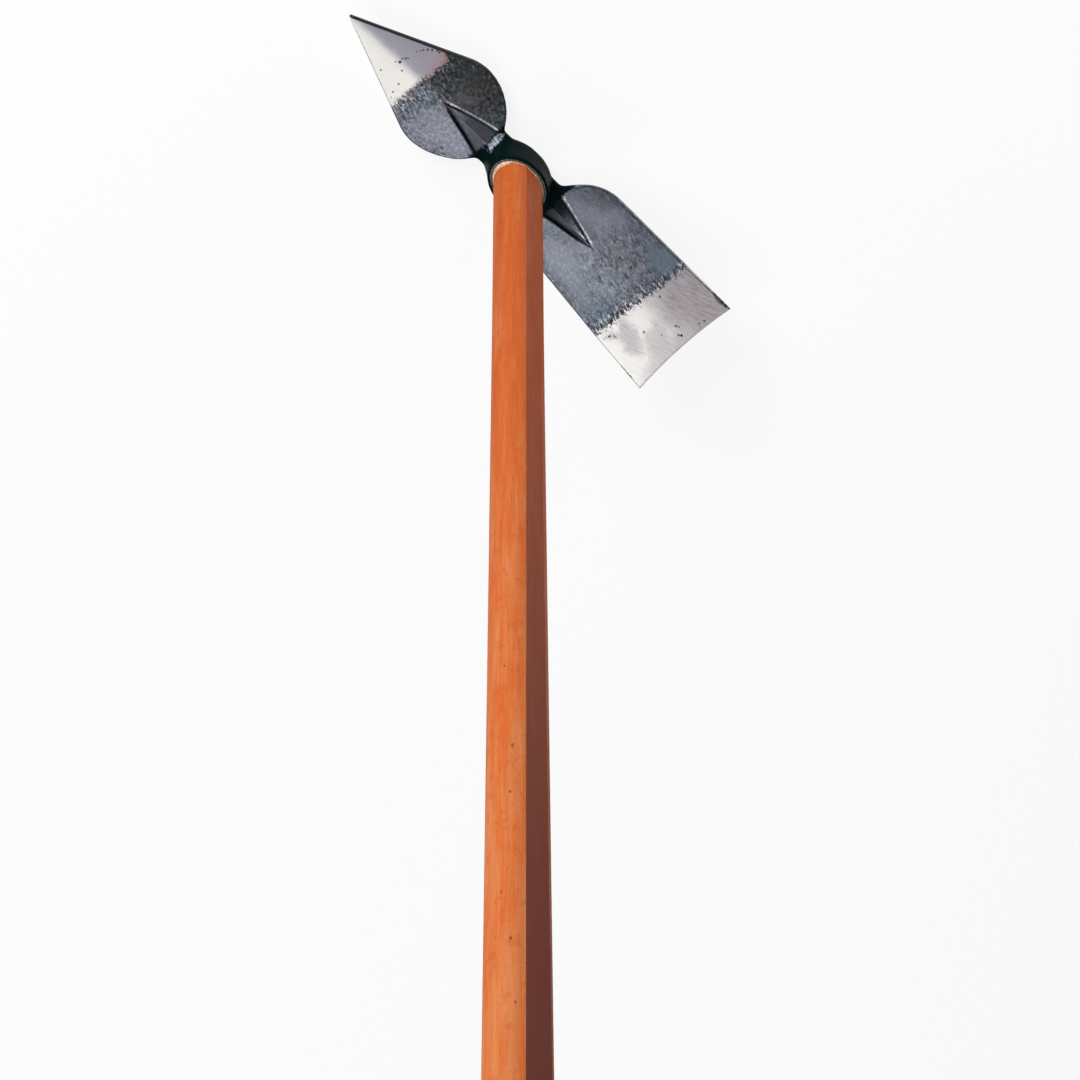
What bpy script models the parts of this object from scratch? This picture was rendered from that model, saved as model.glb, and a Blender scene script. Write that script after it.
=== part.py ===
# Double planting hoe: one forged steel head with a pointed and a square blade,
# wedged on an oval wooden handle.
#
# Metres. +Z runs along the handle toward the grip and +X toward the pointed blade.
# The origin is the centre of the handle's end face at the head, where the tool stands.

import math

import bmesh
import bpy
from mathutils import Vector

# Handle
HANDLE_LENGTH = 1.200          # from the face at the head to the flat of the butt
GRIP_LONG = 0.0366             # across the grip where the swell ends, in line with the blades
GRIP_WIDE = 0.0271             # across the grip there, over its two planed sides
BUTT_LONG = 0.0356             # across the butt, the same two ways
BUTT_WIDE = 0.0268
COLLAR_LONG = 0.0378           # the swollen part that stands just outside the eye
COLLAR_WIDE = 0.0277
COLLAR_FLAT = 0.0114           # width of each planed side just outside the eye
BUTT_FLAT = 0.0172             # it widens evenly toward the butt
SWELL_LENGTH = 0.300           # from the eye to where the grip has its own size
SHAVED_BEVEL = 0.0030          # height of the bare bevel where the eye shaved the wood
HANDLE_PROUD = 0.0050          # how far the wood stands out behind the eye
BUTT_ROUNDING = 0.0060         # radius round the rim of the butt

# Eye
BORE_LONG = 0.0412             # at the mouth, on the grip side
BORE_WIDE = 0.0292
BORE_FLAT = 0.0080             # width of the flat on each long side of the bore
BORE_SPREAD = 0.0004           # how much further out the bore's wall lies at the back
EYE_HEIGHT = 0.0317
WALL_MOUTH = 0.0032
WALL_SIDE = 0.0038             # beside the handle, at the level of the blades
WALL_END = 0.0068              # toward each blade, at the level of the blades
EYE_CHAMFER = 0.0008           # outside, round the mouth
BACK_CHAMFER = 0.0018          # outside, round the back
MOUTH_BEVEL = 0.0011           # inside, round the mouth
SEAT_GAP = 0.0003              # between the wood and the eye, and round each wedge

# What both blades share
BLADE_LEVEL = 0.0025           # middle of the blades at the neck, above the eye's back
BLADE_THICKNESS = 0.0042
NECK_THICKNESS = 0.0070
NECK_FADE = 0.0200             # length over which the neck thins to the blade
NECK_WIDTH = 0.0268
NECK_FILLET = 0.0040
NECK_FLARE = 10.0              # degrees that each side of the neck opens where it meets the eye
NECK_BEND = 0.0200             # length over which a blade turns to its droop
EDGE_CHAMFER = 0.0008
ROOT_DEPTH = 0.0130            # how far a blade's root reaches in from the eye's outside
GROOVE_WIDTH = 0.0022
GROOVE_DEPTH = 0.0013
RIB_RUNOUT = 0.0150            # length past the rib's point over which the plate evens out

# Pointed blade
POINT_REACH = 0.1643           # from the handle's axis to the tip
POINT_BELLY_RADIUS = 0.0373
POINT_BELLY_REACH = 0.0676     # from the axis to the middle of the belly's arc
POINT_NECK_RADIUS = 0.0464     # of the wider arc between the belly and the neck
POINT_NECK_START = 5.0         # degrees off the middle line where that arc takes over
POINT_TIP_WIDTH = 0.0016
POINT_FOLD = 3.8               # degrees that each half falls away from the middle line
POINT_DROOP = 5.7              # degrees that the blade leans toward the grip
POINT_GROUND = 0.0675          # length of the ground part, back from the tip
POINT_EDGE = 0.0034            # thickness left at the tip
POINT_RIB_WIDTH = 0.0225
POINT_RIB_HEIGHT = 0.0046
POINT_RIB_REACH = 0.0714       # from the axis to where the rib runs out

# Square blade
SQUARE_REACH = 0.1716
SQUARE_EDGE_WIDTH = 0.0875
SQUARE_FLARE = 3.1             # degrees that each side opens toward the edge
SQUARE_SHOULDER_RADIUS = 0.0361
SQUARE_SHOULDER_REACH = 0.0659
SQUARE_NECK_RADIUS = 0.2000
SQUARE_NECK_START = 50.0
SQUARE_EDGE_HOLLOW = 0.0027    # the middle of the edge lies this much further in
SQUARE_HOLLOW_FADE = 0.0300
SQUARE_FOLD = 1.2
SQUARE_DROOP = 14.9
SQUARE_GROUND = 0.0460
SQUARE_EDGE = 0.0011           # thickness left at the cutting edge
SQUARE_RIB_WIDTH = 0.0192
SQUARE_RIB_HEIGHT = 0.0046
SQUARE_RIB_REACH = 0.0729

# Wedges
WOOD_WEDGE_DEPTH = 0.0290
WOOD_WEDGE_THICK = 0.0060
WOOD_WEDGE_THIN = 0.0018
WOOD_WEDGE_INSET = 0.0015      # between each end of the wedge and the bore
KERF_SPARE = 0.0030            # the saw cut goes this much deeper than the wedge
STEEL_WEDGE_DEPTH = 0.0200
STEEL_WEDGE_THICK = 0.0036
STEEL_WEDGE_THIN = 0.0010
STEEL_WEDGE_WIDTH = 0.0200
STEEL_WEDGE_PLACE = 0.0095     # from the middle of the handle toward the pointed blade
STEEL_SLOT_SPARE = 0.0010

# How finely the round forms are cut
OVAL_STEPS = 30
ARC_STEPS = 12
NECK_STEPS = 7
FILLET_STEPS = 6
SWELL_STEPS = 8
BUTT_STEPS = 5
CUT_SPARE = 0.0050             # how far a cutter stands out past what it cuts

# Places worked out from the sizes
EYE_BACK = HANDLE_PROUD
EYE_MOUTH = EYE_BACK + EYE_HEIGHT
BLADE_HEIGHT = EYE_BACK + BLADE_LEVEL
EYE_LONG_RADIUS = BORE_LONG / 2 + BORE_SPREAD + WALL_END


def clear_scene():
    for old in list(bpy.data.objects):
        bpy.data.objects.remove(old, do_unlink=True)


def new_collection(name):
    group = bpy.data.collections.new(name)
    bpy.context.scene.collection.children.link(group)
    return group


def new_material(name, colour, metallic, roughness):
    material = bpy.data.materials.new(name)
    material.use_nodes = True
    shader = material.node_tree.nodes["Principled BSDF"]
    shader.inputs["Base Color"].default_value = (*colour, 1.0)
    shader.inputs["Metallic"].default_value = metallic
    shader.inputs["Roughness"].default_value = roughness
    material.diffuse_color = (*colour, 1.0)
    return material


def oval(half_long, half_wide, flat):
    """An ellipse whose two long sides are planed flat, as points round the origin."""
    lean = math.acos(flat / 2 / half_long)
    tall = half_wide / math.sin(lean)
    points = []
    for middle in (0.0, math.pi):
        for step in range(OVAL_STEPS + 1):
            angle = middle - lean + 2 * lean * step / OVAL_STEPS
            points.append((half_long * math.cos(angle), tall * math.sin(angle)))
    return points


def level_oval(half_long, half_wide, flat, height):
    return [Vector((x, y, height)) for x, y in oval(half_long, half_wide, flat)]


def loft(name, rings, group, material=None, paired_ends=False):
    """A closed solid through rings with equal numbers of points.

    The end rings are closed by one flat face, or, where a ring is a top row followed
    by a bottom row, by a strip of faces between the two rows.
    """
    shape = bmesh.new()
    rows = [[shape.verts.new(point) for point in ring] for ring in rings]
    count = len(rows[0])
    for lower, upper in zip(rows, rows[1:]):
        for here in range(count):
            after = (here + 1) % count
            shape.faces.new((lower[here], lower[after], upper[after], upper[here]))
    for row in (rows[0], rows[-1]):
        if paired_ends:
            for here in range(count // 2 - 1):
                there = count - 1 - here
                shape.faces.new((row[here], row[here + 1], row[there - 1], row[there]))
        else:
            shape.faces.new(row)
    bmesh.ops.recalc_face_normals(shape, faces=shape.faces)
    mesh = bpy.data.meshes.new(name)
    shape.to_mesh(mesh)
    shape.free()
    solid = bpy.data.objects.new(name, mesh)
    group.objects.link(solid)
    if material:
        mesh.materials.append(material)
    return solid


def tapered_block(name, group, size_near, size_far, near, far, place=(0.0, 0.0)):
    """A block between two levels, with its own length and width at each."""
    bpy.ops.mesh.primitive_cube_add(size=1.0)
    block = bpy.context.object
    block.name = name
    block.data.name = name
    for vertex in block.data.vertices:
        at_far = vertex.co.z > 0
        length, width = size_far if at_far else size_near
        vertex.co.x = place[0] + math.copysign(length / 2, vertex.co.x)
        vertex.co.y = place[1] + math.copysign(width / 2, vertex.co.y)
        vertex.co.z = far if at_far else near
    for holder in list(block.users_collection):
        holder.objects.unlink(block)
    group.objects.link(block)
    return block


def as_cutter(solid):
    solid.hide_render = True
    solid.display_type = "WIRE"
    return solid


def combine(body, other, operation):
    boolean = body.modifiers.new(f"{operation.lower()} {other.name}", "BOOLEAN")
    boolean.operation = operation
    boolean.solver = "EXACT"
    boolean.object = other


def shade_round(solid, crease_degrees):
    solid.data.shade_smooth()
    solid.data.set_sharp_from_angle(angle=math.radians(crease_degrees))


def bore_sizes(height):
    """Half length and half width of the bore at a height above the handle's end face."""
    share = (EYE_MOUTH - height) / EYE_HEIGHT
    spread = BORE_SPREAD * min(share, 1.0)
    return BORE_LONG / 2 + spread, BORE_WIDE / 2 + spread


def half_outline(arc_middle, arc_radius, neck_start, neck_radius, side_slope, end):
    """Half the plan outline of a blade, from its root in the eye out to its end.

    A fillet widens into the eye, a wide arc runs from the fillet to the arc of the
    belly, and a straight side leaves the belly at side_slope and runs to the end.
    """
    neck = NECK_WIDTH / 2
    neck_middle = (arc_middle[0] + (neck_radius - arc_radius) * math.sin(neck_start),
                   arc_middle[1] - (neck_radius - arc_radius) * math.cos(neck_start))
    steepest = math.acos((neck + NECK_FILLET - neck_middle[1]) / (neck_radius + NECK_FILLET))
    fillet_middle = neck_middle[0] - (neck_radius + NECK_FILLET) * math.sin(steepest)
    flare = -math.radians(NECK_FLARE)
    points = []
    for slope in steps(flare, steepest, FILLET_STEPS):
        points.append((fillet_middle + NECK_FILLET * math.sin(slope),
                       neck + NECK_FILLET * (1 - math.cos(slope))))
    for slope in steps(steepest, neck_start, NECK_STEPS)[1:]:
        points.append((neck_middle[0] - neck_radius * math.sin(slope),
                       neck_middle[1] + neck_radius * math.cos(slope)))
    for slope in steps(neck_start, side_slope, ARC_STEPS)[1:]:
        points.append((arc_middle[0] - arc_radius * math.sin(slope),
                       arc_middle[1] + arc_radius * math.cos(slope)))
    points.append(end)
    root = min(EYE_LONG_RADIUS - ROOT_DEPTH, points[0][0] - EDGE_CHAMFER)
    return [(root, points[0][1])] + points


def centre_line(along, droop):
    """Where the middle of a blade lies, as reach, rise and lean, at a distance along it."""
    lean = math.radians(droop)
    start = EYE_LONG_RADIUS - NECK_BEND / 2
    straight = min(along, start)
    bent = min(max(along - start, 0.0), NECK_BEND)
    beyond = max(along - start - NECK_BEND, 0.0)
    radius = NECK_BEND / lean
    turned = lean * bent / NECK_BEND
    reach = straight + radius * math.sin(turned) + beyond * math.cos(lean)
    rise = radius * (1 - math.cos(turned)) + beyond * math.sin(lean)
    return reach, rise, turned


def between(points, along):
    """Half width of an outline at a distance from the axis."""
    for (near, width_near), (far, width_far) in zip(points, points[1:]):
        if along <= far:
            share = (along - near) / (far - near)
            return width_near + (width_far - width_near) * share
    return points[-1][1]


def steps(first, last, count):
    return [first + (last - first) * step / count for step in range(count + 1)]


def ease(share):
    share = max(0.0, min(1.0, share))
    return share * share * (3 - 2 * share)


def blade_columns(half_width, along, blade):
    """Distances from the middle line to the crest, groove, groove's lip, plate and rim."""
    left = 1 - (along - EYE_LONG_RADIUS) / (blade["rib_reach"] - EYE_LONG_RADIUS)
    left = max(0.0, min(1.0, left))
    rim = half_width - min(EDGE_CHAMFER, half_width * 0.3)
    opened = rim / 6 * ease((along - blade["rib_reach"]) / RIB_RUNOUT)
    foot = max(blade["rib_width"] / 2 * left, GROOVE_WIDTH / 4, opened)
    lip = foot + max(GROOVE_WIDTH, opened)
    widest = rim * 0.94
    if lip > widest:
        foot *= widest / lip
        lip = widest
    inner = lip + (rim - lip) / 3
    outer = lip + (rim - lip) * 2 / 3
    return [0.0, foot, lip, inner, outer, rim, half_width], left


def blade_ring(half_width, along, blade, side):
    """One cross-section of a blade: its top row from +Y to -Y, then its bottom row back."""
    columns, left = blade_columns(half_width, along, blade)
    reach = blade["reach"]
    neck = ease(1 - (along - EYE_LONG_RADIUS) / NECK_FADE)
    thickness = BLADE_THICKNESS + (NECK_THICKNESS - BLADE_THICKNESS) * neck
    ground = max(0.0, 1 - (reach - along) / blade["ground"])
    bottom = -BLADE_THICKNESS / 2
    top = bottom + thickness - (BLADE_THICKNESS - blade["edge"]) * ground
    chamfer = min(EDGE_CHAMFER, (top - bottom) * 0.3)
    folded = [-across * math.tan(math.radians(blade["fold"])) for across in columns]
    upper = [top + fall for fall in folded]
    upper[0] += blade["rib_height"] * left
    upper[1] -= GROOVE_DEPTH * min(1.0, left * 4)
    upper[-1] -= chamfer
    lower = [bottom + fall for fall in folded]
    lower[-1] += chamfer

    hollow_share = ease(1 - (reach - along) / SQUARE_HOLLOW_FADE)

    def place(across, height):
        hollow = blade["hollow"] * hollow_share * (1 - (across / half_width) ** 2)
        out, rise, lean = centre_line(along - hollow, blade["droop"])
        return Vector((side * (out - height * math.sin(lean)), across,
                       BLADE_HEIGHT + rise + height * math.cos(lean)))

    def row(heights):
        ends = [(across, high) for across, high in zip(columns, heights)]
        whole = ends[:0:-1] + [(-across, high) for across, high in ends]
        return [place(across, high) for across, high in whole]

    return row(upper) + row(lower)[::-1]


def forged_blade(name, blade, side, group):
    """A blade lofted through sections: thick at the neck, ground thin at the end, with
    a roof-shaped rib between two grooves that runs out on the plate."""
    outline = blade["outline"]
    stations = [along for along, _ in outline]
    ground_start = blade["reach"] - blade["ground"]
    stations += [EYE_LONG_RADIUS, ground_start, blade["rib_reach"]]
    stations += [EYE_LONG_RADIUS + NECK_FADE * share for share in (0.25, 0.5, 0.75, 1.0)]
    stations += [blade["reach"] - blade["ground"] * share for share in (0.2, 0.4, 0.7)]
    stations += [ground_start - (ground_start - blade["rib_reach"]) * 0.5]
    rings = []
    last = None
    for along in sorted(stations):
        if last is None or along - last > 0.0006:
            rings.append(blade_ring(between(outline, along), along, blade, side))
            last = along
    return loft(name, rings, group, paired_ends=True)


def pointed_blade(group):
    slope = -math.asin(POINT_BELLY_RADIUS / (POINT_REACH - POINT_BELLY_REACH))
    outline = half_outline((POINT_BELLY_REACH, 0.0), POINT_BELLY_RADIUS,
                           math.radians(POINT_NECK_START), POINT_NECK_RADIUS, slope,
                           (POINT_REACH, POINT_TIP_WIDTH / 2))
    blade = {"outline": outline, "reach": POINT_REACH, "droop": POINT_DROOP,
             "fold": POINT_FOLD, "ground": POINT_GROUND, "edge": POINT_EDGE, "hollow": 0.0,
             "rib_width": POINT_RIB_WIDTH, "rib_height": POINT_RIB_HEIGHT,
             "rib_reach": POINT_RIB_REACH}
    return forged_blade("pointed_blade_form", blade, 1, group)


def square_blade(group):
    slope = math.radians(SQUARE_FLARE)
    half_edge = SQUARE_EDGE_WIDTH / 2
    side_there = half_edge - (SQUARE_REACH - SQUARE_SHOULDER_REACH) * math.tan(slope)
    middle = (SQUARE_SHOULDER_REACH, side_there - SQUARE_SHOULDER_RADIUS / math.cos(slope))
    outline = half_outline(middle, SQUARE_SHOULDER_RADIUS, math.radians(SQUARE_NECK_START),
                           SQUARE_NECK_RADIUS, slope, (SQUARE_REACH, half_edge))
    blade = {"outline": outline, "reach": SQUARE_REACH, "droop": SQUARE_DROOP,
             "fold": SQUARE_FOLD, "ground": SQUARE_GROUND, "edge": SQUARE_EDGE,
             "hollow": SQUARE_EDGE_HOLLOW,
             "rib_width": SQUARE_RIB_WIDTH, "rib_height": SQUARE_RIB_HEIGHT,
             "rib_reach": SQUARE_RIB_REACH}
    return forged_blade("square_blade_form", blade, -1, group)


def eye_ring(height, body_share, inset=0.0):
    """Outside of the eye: body_share is 0 at the thin mouth and 1 level with the blades."""
    half_long, half_wide = bore_sizes(height)
    end = WALL_MOUTH + (WALL_END - WALL_MOUTH) * body_share - inset
    side = WALL_MOUTH + (WALL_SIDE - WALL_MOUTH) * body_share - inset
    return level_oval(half_long + end, half_wide + side, BORE_FLAT, height)


def hoe_head(group, cutters):
    steel = new_material("forged steel", (0.055, 0.065, 0.075), 0.75, 0.42)
    body_high = BLADE_HEIGHT - BLADE_THICKNESS / 2 + NECK_THICKNESS
    rings = [eye_ring(EYE_BACK, 1.0, BACK_CHAMFER),
             eye_ring(EYE_BACK + BACK_CHAMFER, 1.0),
             eye_ring(body_high, 1.0),
             eye_ring((body_high * 2 + EYE_MOUTH) / 3, 0.4),
             eye_ring(EYE_MOUTH - EYE_CHAMFER, 0.0),
             eye_ring(EYE_MOUTH, 0.0, EYE_CHAMFER)]
    head = loft("hoe_head", rings, group, steel)
    for form in (pointed_blade(cutters), square_blade(cutters)):
        combine(head, as_cutter(form), "UNION")
    bore_rings = [level_oval(*bore_sizes(height), BORE_FLAT, height)
                  for height in (EYE_BACK - CUT_SPARE, EYE_BACK, EYE_MOUTH - MOUTH_BEVEL)]
    flare = MOUTH_BEVEL + CUT_SPARE
    bore_rings.append(level_oval(BORE_LONG / 2 + flare, BORE_WIDE / 2 + flare, BORE_FLAT,
                                 EYE_MOUTH + CUT_SPARE))
    bore = loft("eye_bore", bore_rings, cutters)
    combine(head, as_cutter(bore), "DIFFERENCE")
    shade_round(head, 28)
    return head


def wedge_cut(name, cutters, depth, thick, thin, length, spare, place, along_x):
    """A tapered slot that clears a wedge by the seat gap on every side."""
    slope = (thick - thin) / depth
    near = -CUT_SPARE
    far = depth + spare
    wide_near = thick + 2 * SEAT_GAP + slope * CUT_SPARE
    wide_far = thick + 2 * SEAT_GAP - slope * far
    if along_x:
        sizes = (length, wide_near), (length, wide_far)
    else:
        sizes = (wide_near, length), (wide_far, length)
    return as_cutter(tapered_block(name, cutters, *sizes, near, far, place))


def handle(group, cutters):
    wood = new_material("lacquered ash", (0.62, 0.17, 0.06), 0.0, 0.38)
    rings = []
    for height in (0.0, EYE_BACK, EYE_MOUTH):
        half_long, half_wide = bore_sizes(height)
        rings.append(level_oval(half_long - SEAT_GAP, half_wide - SEAT_GAP, BORE_FLAT, height))
    start = EYE_MOUTH + SHAVED_BEVEL
    rounding_start = HANDLE_LENGTH - BUTT_ROUNDING
    for step in range(SWELL_STEPS + 1):
        share = step / SWELL_STEPS
        height = start + (SWELL_LENGTH - SHAVED_BEVEL) * share
        thin = ease(share)
        planed = (height - start) / (rounding_start - start)
        rings.append(level_oval((COLLAR_LONG + (GRIP_LONG - COLLAR_LONG) * thin) / 2,
                                (COLLAR_WIDE + (GRIP_WIDE - COLLAR_WIDE) * thin) / 2,
                                COLLAR_FLAT + (BUTT_FLAT - COLLAR_FLAT) * planed, height))
    for step in range(BUTT_STEPS + 1):
        angle = math.pi / 2 * step / BUTT_STEPS
        inset = BUTT_ROUNDING * (1 - math.cos(angle))
        rings.append(level_oval(BUTT_LONG / 2 - inset, BUTT_WIDE / 2 - inset,
                                BUTT_FLAT * (1 - inset / (BUTT_WIDE / 2)),
                                rounding_start + BUTT_ROUNDING * math.sin(angle)))
    stick = loft("handle", rings, group, wood)
    kerf_length = BORE_LONG + 2 * BORE_SPREAD + 2 * CUT_SPARE
    kerf = wedge_cut("kerf", cutters, WOOD_WEDGE_DEPTH, WOOD_WEDGE_THICK, WOOD_WEDGE_THIN,
                     kerf_length, KERF_SPARE, (0.0, 0.0), True)
    combine(stick, kerf, "DIFFERENCE")
    combine(stick, steel_slot(cutters, "steel_wedge_slot"), "DIFFERENCE")
    shade_round(stick, 12)
    return stick


def steel_slot(cutters, name):
    return wedge_cut(name, cutters, STEEL_WEDGE_DEPTH, STEEL_WEDGE_THICK, STEEL_WEDGE_THIN,
                     STEEL_WEDGE_WIDTH + 2 * SEAT_GAP, STEEL_SLOT_SPARE,
                     (STEEL_WEDGE_PLACE, 0.0), False)


def wooden_wedge(group, cutters):
    pale = new_material("bare beech", (0.60, 0.42, 0.25), 0.0, 0.6)
    length = BORE_LONG + 2 * BORE_SPREAD - 2 * WOOD_WEDGE_INSET
    wedge = tapered_block("wooden_wedge", group, (length, WOOD_WEDGE_THICK),
                          (length, WOOD_WEDGE_THIN), 0.0, WOOD_WEDGE_DEPTH)
    wedge.data.materials.append(pale)
    combine(wedge, steel_slot(cutters, "steel_wedge_notch"), "DIFFERENCE")
    return wedge


def steel_wedge(group):
    bright = new_material("plain steel", (0.42, 0.42, 0.43), 1.0, 0.35)
    wedge = tapered_block("steel_wedge", group, (STEEL_WEDGE_THICK, STEEL_WEDGE_WIDTH),
                          (STEEL_WEDGE_THIN, STEEL_WEDGE_WIDTH), 0.0, STEEL_WEDGE_DEPTH,
                          (STEEL_WEDGE_PLACE, 0.0))
    wedge.data.materials.append(bright)
    return wedge


def build():
    clear_scene()
    parts = new_collection("double_hoe")
    cutters = new_collection("double_hoe_cutters")
    hoe_head(parts, cutters)
    handle(parts, cutters)
    wooden_wedge(parts, cutters)
    steel_wedge(parts)


build()
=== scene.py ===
import math
from functools import reduce

import bmesh
import bpy
from mathutils import Euler, Matrix, Vector


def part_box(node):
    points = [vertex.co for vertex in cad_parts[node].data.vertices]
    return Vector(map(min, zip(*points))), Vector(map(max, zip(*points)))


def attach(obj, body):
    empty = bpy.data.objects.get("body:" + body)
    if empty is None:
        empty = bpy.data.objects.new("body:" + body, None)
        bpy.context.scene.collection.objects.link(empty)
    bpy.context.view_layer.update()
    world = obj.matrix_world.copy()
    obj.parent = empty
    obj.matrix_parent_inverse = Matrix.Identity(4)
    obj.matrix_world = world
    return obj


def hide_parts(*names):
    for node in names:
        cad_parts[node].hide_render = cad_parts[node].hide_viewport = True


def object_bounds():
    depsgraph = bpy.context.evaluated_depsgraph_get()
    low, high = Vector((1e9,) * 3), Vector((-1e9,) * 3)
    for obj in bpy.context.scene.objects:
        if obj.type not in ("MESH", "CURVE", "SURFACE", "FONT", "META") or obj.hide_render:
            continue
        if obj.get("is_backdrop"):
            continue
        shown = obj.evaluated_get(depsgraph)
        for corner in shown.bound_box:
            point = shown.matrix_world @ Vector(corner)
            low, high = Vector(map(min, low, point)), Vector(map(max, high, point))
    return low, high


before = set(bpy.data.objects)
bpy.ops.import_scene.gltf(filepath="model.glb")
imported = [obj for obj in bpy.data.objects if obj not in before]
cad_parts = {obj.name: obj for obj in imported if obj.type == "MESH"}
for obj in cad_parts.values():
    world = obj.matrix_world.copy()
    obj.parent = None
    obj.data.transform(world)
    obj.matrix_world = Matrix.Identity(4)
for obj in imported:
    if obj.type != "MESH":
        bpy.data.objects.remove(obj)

# Double hoe, standing on its head with the handle up.
# Metres, +Z toward the grip, +X toward the pointed blade.

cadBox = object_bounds()
scene = bpy.context.scene
scene.view_settings.view_transform = "Standard"


# Small helpers for materials

class Nodes:                      # a node tree, and the few kinds of node that this scene uses
    def __init__(self, tree):
        self.tree = tree

    def add(self, kind):
        return self.tree.nodes.new("ShaderNode" + kind)

    def plug(self, socket, value):
        if isinstance(value, bpy.types.NodeSocket):
            self.tree.links.new(value, socket)
        elif isinstance(value, tuple) and len(value) == 3 and socket.type == "RGBA":
            socket.default_value = (*value, 1.0)
        else:
            socket.default_value = value

    def stored(self, name):
        attribute = self.add("Attribute")
        attribute.attribute_name = name
        return attribute.outputs["Fac"]

    def xyz(self, vector):
        split = self.add("SeparateXYZ")
        self.plug(split.inputs[0], vector)
        return split.outputs["X"], split.outputs["Y"], split.outputs["Z"]

    def join(self, x, y, z):
        joined = self.add("CombineXYZ")
        for socket, value in zip(joined.inputs, (x, y, z)):
            self.plug(socket, value)
        return joined.outputs[0]

    def math(self, operation, first, second=0.0, third=0.0):
        sums = self.add("Math")
        sums.operation = operation
        for socket, value in zip(sums.inputs, (first, second, third)):
            self.plug(socket, value)
        return sums.outputs[0]

    def chain(self, operation, values):      # one node after another, so that few values are kept at a time
        return reduce(lambda total, value: self.math(operation, total, value), values)

    def plus(self, *values):
        return self.chain("ADD", values)

    def times(self, *values):
        return self.chain("MULTIPLY", values)

    def most(self, *values):
        return self.chain("MAXIMUM", values)

    def minus(self, first, second):
        return self.math("SUBTRACT", first, second)

    def rest(self, share):                   # what is left of 1
        return self.minus(1.0, share)

    def absolute(self, value):
        return self.math("ABSOLUTE", value)

    def swing(self, noise, width):           # noise that swings to both sides of 0
        return self.times(self.minus(noise, 0.5), width)

    def length(self, x, y):
        return self.math("SQRT", self.plus(self.math("POWER", x, 2.0), self.math("POWER", y, 2.0)))

    def fade(self, value, low, high, toLow=0.0, toHigh=1.0, smooth=True):
        ranged = self.add("MapRange")
        ranged.interpolation_type = "SMOOTHSTEP" if smooth else "LINEAR"
        self.plug(ranged.inputs["Value"], value)
        for name, number in (("From Min", low), ("From Max", high), ("To Min", toLow), ("To Max", toHigh)):
            self.plug(ranged.inputs[name], number)
        return ranged.outputs[0]

    def close(self, value, to, far, near):   # 1 where the value is close to a given one
        return self.fade(self.absolute(self.minus(value, to)), far, near)

    def vector(self, operation, first, second=(0, 0, 0)):
        sums = self.add("VectorMath")
        sums.operation = operation
        self.plug(sums.inputs[0], first)
        self.plug(sums.inputs[1], second)
        return sums.outputs["Value" if operation in ("DOT_PRODUCT", "DISTANCE", "LENGTH") else "Vector"]

    def stretch(self, vector, sizes, turn=0.0, place=(0, 0, 0)):     # moved, turned, then measured in sizes
        mapping = self.add("Mapping")
        mapping.vector_type = "TEXTURE"
        self.plug(mapping.inputs["Vector"], vector)
        mapping.inputs["Location"].default_value = place
        mapping.inputs["Rotation"].default_value = (0, 0, math.radians(turn))
        mapping.inputs["Scale"].default_value = sizes
        return mapping.outputs[0]

    def spot(self, vector, place, soft=0.35):                        # 1 inside an oval patch
        x, y, long, wide, turn = place
        cosine, sine = math.cos(math.radians(turn)), math.sin(math.radians(turn))
        away = self.vector("SUBTRACT", vector, (x, y, 0))
        along = self.vector("DOT_PRODUCT", away, (cosine / long, sine / long, 0))
        across = self.vector("DOT_PRODUCT", away, (-sine / wide, cosine / wide, 0))
        off = self.math("MULTIPLY_ADD", across, across, self.times(along, along))
        return self.fade(off, (1.0 + soft) ** 2, (1.0 - soft) ** 2)

    def spots(self, vector, places):
        return self.chain("MAXIMUM", (self.spot(vector, place) for place in places))

    def noise(self, vector, scale, detail=3.0, roughness=0.55, distortion=0.0):
        cloud = self.add("TexNoise")
        self.plug(cloud.inputs["Vector"], vector)
        cloud.inputs["Scale"].default_value = scale
        cloud.inputs["Detail"].default_value = detail
        cloud.inputs["Roughness"].default_value = roughness
        cloud.inputs["Distortion"].default_value = distortion
        return cloud.outputs["Fac"]

    def ramp(self, value, places, colours):
        ramp = self.add("ValToRGB")
        self.plug(ramp.inputs[0], value)
        points = ramp.color_ramp.elements
        while len(points) < len(places):
            points.new(0.5)
        for point, place, colour in zip(points, places, colours):
            point.position = place
            point.color = (*colour, 1.0)
        return ramp.outputs[0]

    def mix(self, share, first, second):     # of colours
        mixed = self.add("Mix")
        mixed.data_type = "RGBA"
        self.plug(mixed.inputs[0], share)
        self.plug(mixed.inputs[6], first)
        self.plug(mixed.inputs[7], second)
        return mixed.outputs[2]

    def blend(self, share, first, second):   # of numbers
        mixed = self.add("Mix")
        mixed.data_type = "FLOAT"
        self.plug(mixed.inputs[0], share)
        self.plug(mixed.inputs[2], first)
        self.plug(mixed.inputs[3], second)
        return mixed.outputs[0]

    def bump(self, height, depth, strength=1.0, under=None):
        relief = self.add("Bump")
        relief.inputs["Strength"].default_value = strength
        relief.inputs["Distance"].default_value = depth
        self.plug(relief.inputs["Height"], height)
        if under is not None:
            self.plug(relief.inputs["Normal"], under)
        return relief.outputs[0]

    def seenRays(self):                      # 1 for what is seen straight, in a mirror or through glass
        rays = self.add("LightPath").outputs
        return self.most(rays["Is Camera Ray"], rays["Is Glossy Ray"], rays["Is Transmission Ray"])


class Finish(Nodes):              # one material, painted in millimetres
    def __init__(self, name):
        self.material = bpy.data.materials.new(name)
        self.material.use_nodes = True
        super().__init__(self.material.node_tree)
        self.shader = self.tree.nodes["Principled BSDF"]
        self.coords = self.add("TexCoord")
        scaled = self.add("VectorMath")
        scaled.operation = "SCALE"
        scaled.inputs["Scale"].default_value = 1000.0
        self.plug(scaled.inputs[0], self.coords.outputs["Object"])
        self.mm = scaled.outputs["Vector"]

    def wire(self, name, value):
        self.plug(self.shader.inputs[name], value)


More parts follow.
